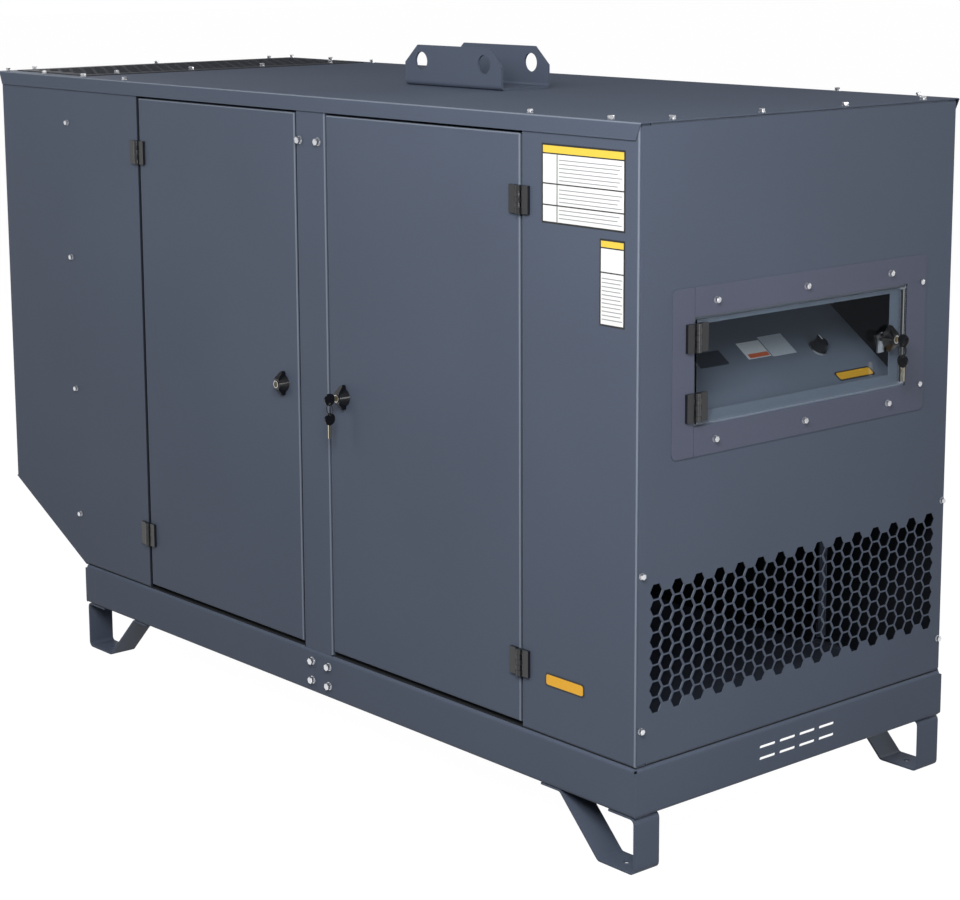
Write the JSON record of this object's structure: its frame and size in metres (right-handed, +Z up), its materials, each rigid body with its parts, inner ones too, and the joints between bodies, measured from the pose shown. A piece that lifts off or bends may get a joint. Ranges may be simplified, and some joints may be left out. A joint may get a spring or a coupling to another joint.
{
  "type": "gas generator",
  "caption": "Gas generator in a sheet-metal canopy with hinged service doors, a clear control window, hexagonal vents, a sloped end and a lifting bracket, on a channel base with bent feet.",
  "frame": {"origin": "middle of the four anchor holes, on the ground under the middle of the base", "axes": "+X towards the end with the air intake and the control window, -Y towards the side with the two hinged doors, +Z up"},
  "size_m": [2.148, 0.904, 1.393],
  "materials": {
    "canopy_paint": "satin powder coat, slate grey",
    "inner_paint": "satin powder coat, dark slate grey",
    "foam": "black closed-cell foam",
    "black_plastic": "black glass-filled polyamide",
    "key_plastic": "black key bow with a steel blade",
    "zinc": "bright zinc plate",
    "clear_pane": "clear polycarbonate",
    "display_plastic": "dark display"
  },
  "bodies": {
    "canopy": {"base_rail_front": "canopy_paint", "base_rail_back": "canopy_paint", "base_rail_right": "canopy_paint", "base_rail_left": "canopy_paint", "floor_pan": "inner_paint", "foam_strip": "foam", "foot_front_right": "canopy_paint", "foot_front_left": "canopy_paint", "foot_back_right": "canopy_paint", "foot_back_left": "canopy_paint", "front_left_panel": "canopy_paint", "front_center_post": "canopy_paint", "front_right_panel": "canopy_paint", "front_cross_rails": "canopy_paint", "back_left_panel": "canopy_paint", "back_center_post": "canopy_paint", "back_right_panel": "canopy_paint", "back_cross_rails": "canopy_paint", "right_end_panel": "canopy_paint", "left_end_panel": "canopy_paint", "left_slope_panel": "canopy_paint", "roof_panel": "canopy_paint", "roof_vent_panel": "canopy_paint", "lifting_bracket": "canopy_paint", "back_left_door": "canopy_paint", "back_right_door": "canopy_paint", "front_left_frame_leaves": "black_plastic", "front_right_frame_leaves": "black_plastic", "back_hinges": "black_plastic", "window_frame_leaves": "black_plastic", "back_locks": "black_plastic", "window_surround": "canopy_paint", "window_recess": "canopy_paint", "console_panel": "inner_paint", "console_brackets": "inner_paint", "console_display": "display_plastic"},
    "front_left_door": {"front_left_door": "canopy_paint", "front_left_door_leaves": "black_plastic", "front_left_barrel": "zinc"},
    "front_right_door": {"front_right_door": "canopy_paint", "front_right_door_leaves": "black_plastic", "front_right_barrel": "zinc", "front_right_keys": "key_plastic"},
    "window_door": {"window_pane": "clear_pane", "window_door_leaves": "black_plastic", "window_barrel": "zinc", "window_keys": "key_plastic"},
    "front_left_handle": {"front_left_handle": "black_plastic", "front_left_cam": "zinc"},
    "front_right_handle": {"front_right_handle": "black_plastic", "front_right_cam": "zinc"},
    "window_handle": {"window_handle": "black_plastic", "window_cam": "zinc"},
    "selector_knob": {"selector_knob": "black_plastic"}
  },
  "joints": [
    {"name": "front_left_door_hinge", "type": "hinge", "parent": "canopy", "child": "front_left_door", "pos_m": [-0.6235, -0.423, 0.74], "axis": [0, 0, -1], "range_deg": [0, 110]},
    {"name": "front_right_door_hinge", "type": "hinge", "parent": "canopy", "child": "front_right_door", "pos_m": [0.5995, -0.423, 0.74], "axis": [0, 0, 1], "range_deg": [0, 110]},
    {"name": "window_hinge", "type": "hinge", "parent": "canopy", "child": "window_door", "pos_m": [0.9025, -0.2815, 0.876], "axis": [0, 0, -1], "range_deg": [0, 110]},
    {"name": "front_left_handle_turn", "type": "hinge", "parent": "front_left_door", "child": "front_left_handle", "pos_m": [-0.111, -0.417, 0.731], "axis": [0, -1, 0], "range_deg": [0, 90]},
    {"name": "front_right_handle_turn", "type": "hinge", "parent": "front_right_door", "child": "front_right_handle", "pos_m": [0.087, -0.417, 0.731], "axis": [0, 1, 0], "range_deg": [0, 90]},
    {"name": "window_handle_turn", "type": "hinge", "parent": "window_door", "child": "window_handle", "pos_m": [0.8965, 0.229, 0.876], "axis": [1, 0, 0], "range_deg": [0, 90]},
    {"name": "selector_knob_turn", "type": "hinge", "parent": "canopy", "child": "selector_knob", "pos_m": [0.7931, 0.15, 0.8521], "axis": [0.5807, 0, 0.8141], "range_deg": [0, 90]}
  ]
}
